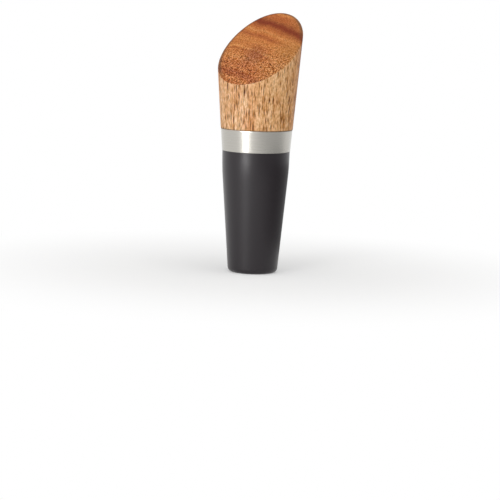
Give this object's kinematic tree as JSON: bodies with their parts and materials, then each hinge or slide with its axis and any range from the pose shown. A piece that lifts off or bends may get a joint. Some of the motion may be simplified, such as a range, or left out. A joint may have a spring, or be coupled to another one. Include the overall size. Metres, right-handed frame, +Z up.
{
  "type": "bottle stopper",
  "caption": "Bottle stopper with a slant-cut turned wooden head, a steel band and a tapered silicone plug on a hidden ribbed core.",
  "frame": {"origin": "centre of the flat end of the plug, on the stopper's axis", "axes": "+Z up the stopper's axis, +X towards the high side of the slanted head; the stopper is symmetric about the XZ plane"},
  "size_m": [0.0248, 0.0246, 0.0763],
  "materials": {
    "wood": "turned, sanded and oiled hardwood",
    "steel": "brushed around",
    "silicone": "moulded, satin",
    "core_plastic": "moulded",
    "screw_steel": "zinc plated"
  },
  "bodies": {
    "root": {"wooden_head": "wood", "steel_band": "steel", "silicone_plug": "silicone", "core": "core_plastic", "screw": "screw_steel"}
  },
  "joints": []
}
